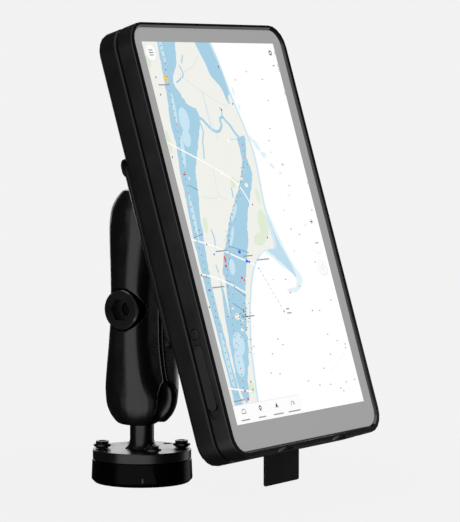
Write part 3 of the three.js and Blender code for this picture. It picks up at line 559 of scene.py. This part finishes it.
for node, finish in {
    "backlight_unit": SHEET_METAL, "mid_chassis": SHEET_METAL, "heat_spreader": SHEET_METAL,
    "processor_shield": SHEET_METAL, "battery_pack": FOIL, "card_socket": BRIGHT, "usb_socket": BRIGHT,
    "dock_connector": GOLD, "glass_seal": RUBBER, "gnss_antenna": BRIGHT,
    "main_board": BOARD, "power_switch": BRIGHT, "top_switch": BRIGHT, "speaker": KNOB, "tab_pin": BRIGHT,
}.items():
    materials = frame["nodes"][node].data.materials
    for index in range(len(materials)):
        materials[index] = finish

# ---------------------------------------------------------------- glass and lit chart

GLASS_HALF_X = 75.5
GLASS_HALF_Z = 125.2
GLASS_CORNER = 9.9
ACTIVE_WIDTH = 135.9
ACTIVE_HEIGHT = 226.5
ACTIVE_X = -0.8
ACTIVE_Z = 3.4
SCREEN_GAP = 0.04
SCREEN_FRONT = 0.02
SCREEN_THICKNESS = 1.7
SCREEN_GLOW = 1.02

# the glass's printed border, which also glows as painted light
glass = object_from("glass_border", framed(GLASS_HALF_X, GLASS_HALF_Z, GLASS_CORNER, [
    (0.16, 0), (0.08, 0.02), (0.02, 0.08), (0, 0.16), (0, 1.8),
], steps=14))
opening = object_from("opening", framed(ACTIVE_WIDTH / 2, ACTIVE_HEIGHT / 2, 0.3, [(0, -1), (0, 3)],
                                        steps=2, x=ACTIVE_X, z=ACTIVE_Z))
cut_away(glass, opening)
glass.data.transform(DISPLAY)
piece(glass, BORDER_WITH_PAINTED_GLOW, "display", ["cover_glass"], sharp=10)

# Chart places are [across, down] in millimetres from the active area's top left corner.
LAND = "land"
INKS = {
    "sea": shade(255), "shoal": shade(224, 241, 248), "shallow": shade(190, 220, 235),
    "water": shade(166, 206, 227), "light_water": shade(200, 228, 242), LAND: shade(238, 239, 233),
    "park": shade(222, 234, 212), "road": shade(252, 252, 250), "track": shade(214, 216, 214),
    "grey": shade(150, 156, 160), "sounding": shade(186, 192, 192), "dark": shade(66, 68, 72),
    "red": shade(226, 96, 84), "green": shade(96, 176, 126), "yellow": shade(246, 206, 96),
    "blue": shade(64, 110, 232), "panel": shade(250), "halo": shade(226, 229, 231),
}
INK_NAMES = list(INKS)
drawing = []


def area(ink, points):
    """Adds a patch of ink, kept inside the screen; a patch that falls outside is dropped."""
    inside = [(min(max(x, 0), ACTIVE_WIDTH), min(max(y, 0), ACTIVE_HEIGHT)) for x, y in points]
    twice = sum(a[0] * b[1] - b[0] * a[1] for a, b in zip(inside, inside[1:] + inside[:1]))
    if abs(twice) > 0.04:
        drawing.append((ink, inside if twice > 0 else inside[::-1]))


def bar(ink, left, top, width, height):
    area(ink, [(left, top), (left + width, top), (left + width, top + height), (left, top + height)])


def disc(ink, x, y, radius, radius_y=None, steps=18, turn=0):
    radius_y = radius_y or radius
    ring = []
    for i in range(steps):
        angle = 2 * math.pi * i / steps
        px, py = radius * math.cos(angle), radius_y * math.sin(angle)
        ring.append((x + px * math.cos(turn) - py * math.sin(turn),
                     y + px * math.sin(turn) + py * math.cos(turn)))
    area(ink, ring)


def curve(points, steps=5, wobble=0.0, seed=0):
    """A smooth line through the points, with a little invented wander."""
    dice = random.Random(seed)
    line = []
    for i in range(len(points) - 1):
        before = Vector(points[max(i - 1, 0)])
        start = Vector(points[i])
        end = Vector(points[i + 1])
        after = Vector(points[min(i + 2, len(points) - 1)])
        for k in range(steps):
            t = k / steps
            place = 0.5 * (2 * start + (end - before) * t
                           + (2 * before - 5 * start + 4 * end - after) * t ** 2
                           + (3 * start - before - 3 * end + after) * t ** 3)
            line.append((place.x + dice.uniform(-wobble, wobble), place.y + dice.uniform(-wobble, wobble)))
    line.append(tuple(points[-1]))
    return line


def stroke(ink, line, width):
    for (ax, ay), (bx, by) in zip(line, line[1:]):
        length = math.hypot(bx - ax, by - ay)
        if length < 0.05:
            continue
        ox, oy = (ay - by) / length * width / 2, (bx - ax) / length * width / 2
        area(ink, [(ax + ox, ay + oy), (bx + ox, by + oy), (bx - ox, by - oy), (ax - ox, ay - oy)])


def along(line, spacing):
    """Evenly spaced places on a line."""
    places = []
    left = spacing
    for (ax, ay), (bx, by) in zip(line, line[1:]):
        length = math.hypot(bx - ax, by - ay)
        while left < length:
            places.append((ax + (bx - ax) * left / length, ay + (by - ay) * left / length))
            left += spacing
        left -= length
    return places


CHART_BOTTOM = 215.4
COAST = [(68, 0), (72, 14), (75, 29), (79, 44), (82.5, 57), (84.5, 70), (83.5, 84), (82, 97), (81.5, 111),
         (82.5, 122), (81, 127.3), (73, 127.6), (63.5, 131), (55.5, 137), (48, 147), (41.5, 159), (36, 172),
         (31.5, 185), (28, 200), (25, CHART_BOTTOM)]


def draw_coast():
    coast = curve(COAST, 5)
    bar("sea", 0, 0, ACTIVE_WIDTH, ACTIVE_HEIGHT)
    edge = [(0, CHART_BOTTOM), (0, 0)]
    area("shoal", curve([(82, 92), (84.5, 106), (88.5, 118), (93, 130), (98.5, 140), (103, 147), (99.5, 152),
                         (93, 155), (84.5, 154.5), (85, 152.6), (93, 152), (96.5, 148), (93, 143), (85, 139),
                         (77, 133), (70, 128), (82, 127)], 4, 0.25, 3))
    area("shallow", curve([(82, 98), (84, 110), (87, 121), (91, 130), (95, 138), (97, 146), (93, 143),
                           (87, 138), (79, 132), (74, 128), (82, 127)], 4, 0.2, 4))
    area("shoal", [(x + 1.8, y) for x, y in coast] + edge)
    area("shallow", [(x + 0.9, y) for x, y in coast] + edge)
    area(LAND, coast + edge)
    for x, y, wide, high, turn in ((90, 64, 2, 4.6, -0.6), (95, 70, 3, 2, 0.3), (101, 77, 2.6, 1.4, 0.5),
                                   (108, 82, 1.6, 0.9, 0), (121, 115, 1.6, 0.8, -0.6), (111, 96, 1.8, 0.7, 0),
                                   (80, 30, 1, 3, -0.2), (82, 40, 1.1, 2.4, 0), (86, 60, 1.2, 2.6, -0.5)):
        disc("shoal", x, y, wide, high, 11, turn)


WEST_CHANNEL = ([(15, 0), (13.6, 12), (12.4, 24), (11, 36), (8, 50), (8.6, 62), (6, 76), (4.8, 92),
                 (3.4, 108), (2.5, 126), (2, 150), (2.6, 180), (2.4, CHART_BOTTOM)],
                [(9.6, CHART_BOTTOM), (9, 190), (8.8, 165), (9.4, 140), (12, 121), (14.4, 104), (18.6, 90),
                 (21, 79), (26.5, 69), (32.5, 58), (38, 48), (37, 40.5), (30, 38), (24.6, 31), (21.6, 26),
                 (23, 20), (27.6, 15), (30.6, 7), (32.6, 0)])
EAST_CHANNEL = ([(71, 59), (71.6, 69), (67.5, 80), (59.5, 90), (51, 99), (43.6, 107), (38, 115), (33, 122),
                 (28, 129), (22.5, 139), (17, 152), (13.4, 170), (11.2, 190), (10.4, 204),
                 (14, CHART_BOTTOM)],
                [(18, 213), (22, 200), (28.6, 187), (33, 172), (38.4, 157), (44, 144), (50, 133), (56, 122),
                 (59, 113), (65, 102), (72.4, 91), (78, 80.5), (76.4, 72), (79, 64), (80, 57.5)])
INLET = [(52.6, 0), (57.5, 12), (61, 21), (66.5, 26), (70, 31.5), (72.6, 37), (73.4, 32), (75, 33),
         (74.2, 25), (71.8, 14), (68.4, 3), (67.6, 0)]
CREEK = [(36.6, 45.5), (41, 47.4), (46, 52), (51, 54.6), (56, 54), (59, 50.5), (58.4, 47.4), (62, 46),
         (65, 49), (67.6, 51), (70.4, 55.6), (74, 58.6)]


def draw_waters():
    for index, (west, east) in enumerate((WEST_CHANNEL, EAST_CHANNEL)):
        area("water", curve(west, 6, 0.35, index + 10) + curve(east, 6, 0.45, index + 20))
    area("water", curve(INLET, 4, 0.25, 30))
    stroke("water", curve(CREEK, 5, 0.2, 31), 1.9)
    for line in ([(36.6, 46), (38.6, 54), (35.4, 61), (33, 71)], [(61, 47), (62.6, 43), (61.4, 40)],
                 [(24, 24.6), (28, 23), (30, 21.6)], [(31, 14), (33, 19), (31, 22)], [(37, 8), (34, 13)],
                 [(70, 31), (71.4, 36), (73, 38)], [(22, 113), (23, 118), (21.6, 124)],
                 [(53, 89), (52, 95)], [(18, 134), (19, 142), (17.4, 150)]):
        stroke("water", curve(line, 4, 0.15, 32), 1.1)
    for x, y, wide, high, turn in ((22.5, 47, 5, 7.4, 0.1), (20.4, 58, 4, 5.5, 0.2), (15.5, 40, 1.5, 9, 0.1),
                                   (13.6, 66, 1.8, 10, 0.2), (8, 105, 1.5, 14, 0.05), (6, 190, 1.6, 18, 0),
                                   (21, 181, 5.6, 7, 0.2), (17, 192, 4.4, 8, 0.1), (33.5, 136, 2.8, 5, 0.3),
                                   (49, 104, 1.7, 7, 0.75), (41, 118, 1.4, 7, 0.6), (18, 5, 1.4, 8, 0)):
        disc("light_water", x, y, wide, high, 17, turn)
    area(LAND, curve([(18.5, 138), (23.5, 141), (21.4, 152), (19.4, 163), (18.6, 165), (19.4, 152),
                      (18.5, 138)], 3, 0.1, 33))
    for x, y, wide, high in ((69, 88, 1.8, 1.4), (66, 84, 1.1, 0.8), (26.6, 165, 2.6, 2), (30, 168, 1.3, 1),
                             (28, 173, 1.4, 1.1), (31.5, 175, 0.8, 1.6), (13, 82, 0.7, 1.2),
                             (24, 160, 0.9, 0.7)):
        disc(LAND, x, y, wide, high, 13)
    for x, y, wide, high, turn in ((76, 112, 5, 9, 0.1), (69, 121, 7, 4, -0.2), (56, 86, 2.6, 3.6, 0.5),
                                   (2.2, 60, 2, 7, 0), (17.5, 110, 2.4, 5, 0.2), (78, 95, 2, 5, 0),
                                   (23, 207, 3, 3.4, 0), (2, 12, 2.2, 4, 0)):
        disc("park", x, y, wide, high, 15, turn)


def draw_roads():
    roads = [[(0, 60), (26, 70.5), (46, 79), (61, 88), (69, 101)],
             [(0, 117.6), (20, 122.6), (40, 130), (57, 136)],
             [(0, 138), (14, 141), (28, 146), (41, 152)], [(0, 205), (22, 209)]]
    for road in roads:
        stroke("road", curve(road, 4), 0.95)
    for road in ([(47, 30), (49, 44), (51.6, 60)], [(28, 20), (44, 15), (53, 8)],
                 [(40, 75), (38, 92), (46, 96)], [(32, 22), (55, 34), (70, 40)],
                 [(21, 93), (34, 95), (38, 92)]):
        stroke("track", curve(road, 4), 0.3)
    bar("light_water", 47.2, 31, 0.9, 24)
    bar("light_water", 62, 59.4, 9, 0.8)
    disc("road", 62, 60.3, 1.2)
    disc("road", 46.8, 80, 1.1)
    for bridge in ([(2.4, 117), (12.6, 115.2)], [(11, 86), (19, 89.4)], [(36, 123.6), (54, 128.6)],
                   [(30, 148), (40, 154)], [(25, 157), (36, 163)], [(0, 139), (8, 141)]):
        stroke("dark", bridge, 0.28)


def draw_marks():
    dice = random.Random(7)
    west_line = curve([(19, 1), (18, 12), (15.6, 27), (14.6, 44), (12.4, 62), (9.8, 80), (8, 100), (6, 118),
                       (6.6, 140), (6.4, 170), (5.8, 200), (6.6, 212)], 6)
    east_line = curve([(76, 60), (74, 72), (66, 82), (58, 93), (50, 101), (42, 110), (38, 119), (34, 128),
                       (29, 136), (25, 146), (22, 158), (19.6, 172), (17, 190), (15, 206)], 6)
    stroke("track", west_line, 0.22)
    for index, (x, y) in enumerate(along(west_line, 4.1) + along(east_line, 3.7)):
        ink = "red" if index % 2 else "green"
        disc(ink, x + dice.uniform(-0.5, 0.5), y, 0.45, 0.62, 7)
    for x, y, wide, high in ((28.5, 131, 1, 2.2), (27.6, 135, 1.3, 1), (9.4, 79.6, 1.5, 0.6),
                             (40.6, 143, 1.2, 0.9), (42.6, 144.4, 1, 0.7), (15.6, 208, 1, 0.7),
                             (16.6, 213, 1, 0.9), (130.6, 14.2, 1.2, 0.5)):
        disc("red", x, y, wide, high, 9)
    disc("yellow", 14.6, 22.4, 1.9, 2.1, 9)
    for x, y, size in ((44.6, 127.6, 1.5), (49.8, 133.4, 1.4), (52, 134, 1.1), (18.8, 127.6, 0.8),
                       (5.4, 148, 0.9), (60, 138.4, 0.6), (75, 165.8, 0.7)):
        disc("blue", x, y, size, size * 0.75, 8)
    approach = [(60, 137.4), (67, 151), (75, 165.6)]
    stroke("track", approach, 0.25)
    for index, (x, y) in enumerate(along(approach, 3.1)):
        disc("red" if index % 2 else "green", x, y, 0.4, 0.4, 7)
    stroke("track", curve([(131.5, 191), (124, 198), (114, 203), (107, 205.6)], 5), 0.16)
    # soundings and place names stand as short grey bars
    for _ in range(64):
        x, y = dice.uniform(40, 132), dice.uniform(4, 222)
        shore = max(place[0] for place in COAST if abs(place[1] - y) < 14)
        if x > shore + 5 and not (122 < x and 108 < y < 150) and not (x < 72 and y > 211):
            bar("sounding", x, y, 1.7, 0.8)
    for _ in range(70):
        line = west_line if dice.random() < 0.4 else east_line
        x, y = dice.choice(line)
        bar(dice.choice(("grey", "grey", "dark", "track")), x + dice.uniform(-4.5, 4.5),
            y + dice.uniform(-3, 3), dice.uniform(0.5, 1.5), 0.4)
    for x, y in ((103.8, 68.6), (102, 105), (101.6, 130.4), (72, 146)):
        disc("yellow", x, y, 0.8, 0.45, 9)
    for x, y in ((105, 167.4), (86.4, 155)):
        disc("red", x, y, 0.7, 0.5, 9)
    for x, y, width in ((6, 25.6, 11), (21, 125.6, 12), (9, 146.4, 12), (60.6, 133, 12.6), (47, 130, 10),
                        (30.6, 165.4, 13), (77.6, 164, 3.4), (77.6, 166.6, 5), (2, 212.6, 11)):
        bar("grey", x, y, width, 0.75)
    for _ in range(60):
        x, y = dice.gauss(31, 4), dice.gauss(164, 9)
        if 18 < x < 41 and 140 < y < 190:
            bar("dark", x, y, dice.uniform(0.4, 1.6), 0.35)
    for x, y in ((5.2, 21.4), (5.6, 31.8), (2, 69), (70, 100), (77, 120.6), (76, 38), (71, 15), (63, 41.6),
                 (14, 121.4), (1.4, 138.6), (1.4, 157.6), (23.6, 203.4), (23.6, 208)):
        disc("dark", x, y, 0.5, 0.7, 7)
    for y in (5, 13, 16, 31, 88):
        bar("water", ACTIVE_WIDTH - 1, y, 0.7, 2.2)


def draw_controls():
    disc("halo", 6.5, 6.8, 5.3, steps=36)
    disc("panel", 6.5, 6.6, 4.9, steps=36)
    for row in (-1.5, 0, 1.5):
        bar("dark", 4.6, 6.3 + row, 3.9, 0.5)
    disc("halo", 130.4, 6, 2.2, steps=24)
    disc("dark", 130.4, 6, 1.5, steps=20)
    disc("panel", 130.4, 6, 0.8, steps=14)
    for y in (113.2, 126.6):
        bar("dark", 126.8, y - 0.25, 3.4, 0.5)
    bar("dark", 128.25, 111.5, 0.5, 3.4)
    ring = [(4.4 * math.sin(a / 8), 4.4 * math.cos(a / 8)) for a in range(-11, 12)]
    stroke("halo", [(128.4 + x, 128.8 + y) for x, y in ring], 0.35)
    disc("halo", 128.4, 142.2, 4.9, steps=32)
    disc("panel", 128.4, 142, 4.5, steps=32)
    stroke("halo", [(128.4, 139.8), (130.6, 142), (128.4, 144.2), (126.2, 142), (128.4, 139.8)], 0.5)
    width = 67.8
    bar("halo", 0, CHART_BOTTOM, width + 0.3, 0.3)
    bar("halo", width, CHART_BOTTOM, 0.3, ACTIVE_HEIGHT - CHART_BOTTOM)
    bar("panel", 0, CHART_BOTTOM + 0.3, width, ACTIVE_HEIGHT - CHART_BOTTOM - 0.3)
    for x, label in ((9.4, 8.6), (26.3, 7.6), (43.2, 10.4), (60, 12.6)):
        bar("grey", x - label / 2, 224.1, label, 0.75)
    stroke("dark", [(7.4, 220.6), (7.4, 219.4), (8.6, 218.2), (10.2, 218.2), (11.4, 219.4), (11.4, 220.6),
                    (7.4, 220.6)], 0.4)
    disc("dark", 26.3, 219, 1.4, steps=14)
    disc("panel", 26.3, 219, 0.7, steps=12)
    area("dark", [(25.7, 220.2), (26.9, 220.2), (26.3, 221.4)])
    area("dark", [(41.6, 221), (43.2, 217.6), (44.8, 221), (43.2, 220.2)])
    stroke("dark", [(60 + 2 * math.cos(math.pi * k / 8), 221 - 2.4 * math.sin(math.pi * k / 8))
                    for k in range(9)], 0.4)
    stroke("dark", [(60, 221), (61, 219.4)], 0.4)


def encloses(outline, x, y):
    inside = False
    for (ax, ay), (bx, by) in zip(outline, outline[1:] + outline[:1]):
        if (ay > y) != (by > y) and x < ax + (bx - ax) * (y - ay) / (by - ay):
            inside = not inside
    return inside


def top_ink(patches, x, y):
    """The ink of the last patch drawn over a place."""
    for ink, outline, left, right, top, bottom in reversed(patches):
        if left <= x <= right and top <= y <= bottom and encloses(outline, x, y):
            return ink
    return "sea"


def chart_slab():
    """The screen as one slab whose front is divided into its inks."""
    points = []
    faces = []
    for _, outline in drawing:
        start = len(points)
        points.extend(Vector(place) for place in outline)
        faces.append(list(range(start, len(points))))
    verts, _, triangles, _, _, _ = delaunay_2d_cdt(points, [], faces, 1, 0.01, True)
    patches = [(ink, outline, min(x for x, _ in outline), max(x for x, _ in outline),
                min(y for _, y in outline), max(y for _, y in outline)) for ink, outline in drawing]
    bm = bmesh.new()
    shrink_x = (ACTIVE_WIDTH - 2 * SCREEN_GAP) / ACTIVE_WIDTH
    shrink_z = (ACTIVE_HEIGHT - 2 * SCREEN_GAP) / ACTIVE_HEIGHT
    made = [bm.verts.new((ACTIVE_X + (v.x - ACTIVE_WIDTH / 2) * shrink_x, SCREEN_FRONT,
                          ACTIVE_Z - (v.y - ACTIVE_HEIGHT / 2) * shrink_z)) for v in verts]
    for corners in triangles:
        face = bm.faces.new([made[i] for i in corners])
        x = sum(verts[i].x for i in corners) / len(corners)
        y = sum(verts[i].y for i in corners) / len(corners)
        face.material_index = INK_NAMES.index(top_ink(patches, x, y))
    bmesh.ops.delete(bm, geom=[v for v in bm.verts if not v.link_faces], context="VERTS")
    border = [edge for edge in bm.edges if edge.is_boundary]
    deep = bmesh.ops.extrude_edge_only(bm, edges=border)["geom"]
    back = [v for v in deep if isinstance(v, bmesh.types.BMVert)]
    bmesh.ops.translate(bm, verts=back, vec=(0, SCREEN_THICKNESS, 0))
    rim = [edge for edge in deep if isinstance(edge, bmesh.types.BMEdge) and edge.is_boundary]
    closing = bmesh.ops.contextual_create(bm, geom=rim)["faces"]
    sides = [f for f in deep if isinstance(f, bmesh.types.BMFace)] + closing
    for face in sides:
        face.material_index = len(INK_NAMES)
    bmesh.ops.recalc_face_normals(bm, faces=bm.faces)
    return bm


draw_coast()
draw_waters()
draw_roads()
draw_marks()
draw_controls()
chart = object_from("lit_chart", chart_slab())
chart.data.transform(DISPLAY)
inks = [lit(f"ink_{name}", INKS[name], SCREEN_GLOW) for name in INK_NAMES]
piece(chart, inks + [PANEL_EDGE], "display", ["lcd_panel"])

# ---------------------------------------------------------------- floor, world and lights

SUBJECT = Vector((0, -0.03, 0.14))
BACKDROP = 0.89
FILL = 0.02
FLOOR_RADIUS = 6
FLOOR_DROP = 0.0005


def softbox(name, azimuth, elevation, distance, width, height, radiance):
    """A rectangular light aimed at the subject, sized and placed as the subject sees it."""
    light = bpy.data.lights.new(name, "AREA")
    light.shape = "RECTANGLE"
    light.size = width
    light.size_y = height
    light.energy = radiance * math.pi * width * height
    made = bpy.data.objects.new(name, light)
    bpy.context.scene.collection.objects.link(made)
    turn = math.radians(azimuth)
    rise = math.radians(elevation)
    way = Vector((math.cos(turn) * math.cos(rise), math.sin(turn) * math.cos(rise), math.sin(rise)))
    made.location = SUBJECT + way * distance
    made.rotation_euler = (-way).to_track_quat("-Z", "Y").to_euler()
    made.visible_camera = False


# name, azimuth, elevation, distance, width, height, radiance
softbox("key_softbox", 198, -6, 1.7, 3.06, 4.8, 1.2)
softbox("side_softbox", 346, -18, 1.7, 0.8, 1.5, 0.7)
softbox("top_softbox", 200, 80, 1.6, 2.2, 1.9, 1.1)
softbox("back_glow", 30, 6, 1.8, 2.5, 0.8, 1.5)

world = bpy.data.worlds.new("studio")
bpy.context.scene.world = world
world.use_nodes = True
sky = world.node_tree
sky_path = sky.nodes.new("ShaderNodeLightPath")
sky_mix = sky.nodes.new("ShaderNodeMix")
sky_mix.data_type = "RGBA"
sky_mix.inputs["A"].default_value = (FILL, FILL, FILL, 1)
sky_mix.inputs["B"].default_value = (BACKDROP, BACKDROP, BACKDROP, 1)
sky.links.new(sky_path.outputs["Is Camera Ray"], sky_mix.inputs["Factor"])
sky.links.new(sky_mix.outputs["Result"], sky.nodes["Background"].inputs["Color"])


def floor_finish():
    """Pale paper: bright by itself, with a little diffuse so that the object leaves a soft shadow."""
    made = Finish("floor_paper")
    tree = made.tree
    tree.nodes.remove(made.shader)
    glow = made.node("ShaderNodeEmission")
    glow.inputs["Color"].default_value = (BACKDROP, BACKDROP, BACKDROP, 1)
    paper = made.node("ShaderNodeBsdfDiffuse")
    made.link(made.mix(made.noise(3), (0.60, 0.60, 0.60, 1), (0.62, 0.62, 0.62, 1)), paper.inputs["Color"])
    spread = made.node("ShaderNodeVectorMath", operation="LENGTH")
    made.link(made.place, spread.inputs[0])
    fade = made.node("ShaderNodeMapRange", interpolation_type="SMOOTHSTEP")
    fade.inputs["From Min"].default_value = 0.05
    fade.inputs["From Max"].default_value = 0.3
    fade.inputs["To Min"].default_value = 0.02
    fade.inputs["To Max"].default_value = 0
    made.link(spread.outputs["Value"], fade.inputs["Value"])
    blend = made.node("ShaderNodeMixShader")
    made.link(fade.outputs["Result"], blend.inputs["Fac"])
    made.link(glow.outputs["Emission"], blend.inputs[1])
    made.link(paper.outputs["BSDF"], blend.inputs[2])
    made.link(blend.outputs["Shader"], tree.nodes["Material Output"].inputs["Surface"])
    return made.material


floor_mesh = bmesh.new()
bmesh.ops.create_circle(floor_mesh, cap_ends=True, segments=96, radius=FLOOR_RADIUS)
floor = object_from("floor", floor_mesh)
floor.data.materials.append(floor_finish())
floor.location.z = -FLOOR_DROP
floor.visible_glossy = False
floor.visible_diffuse = False
floor.visible_shadow = False
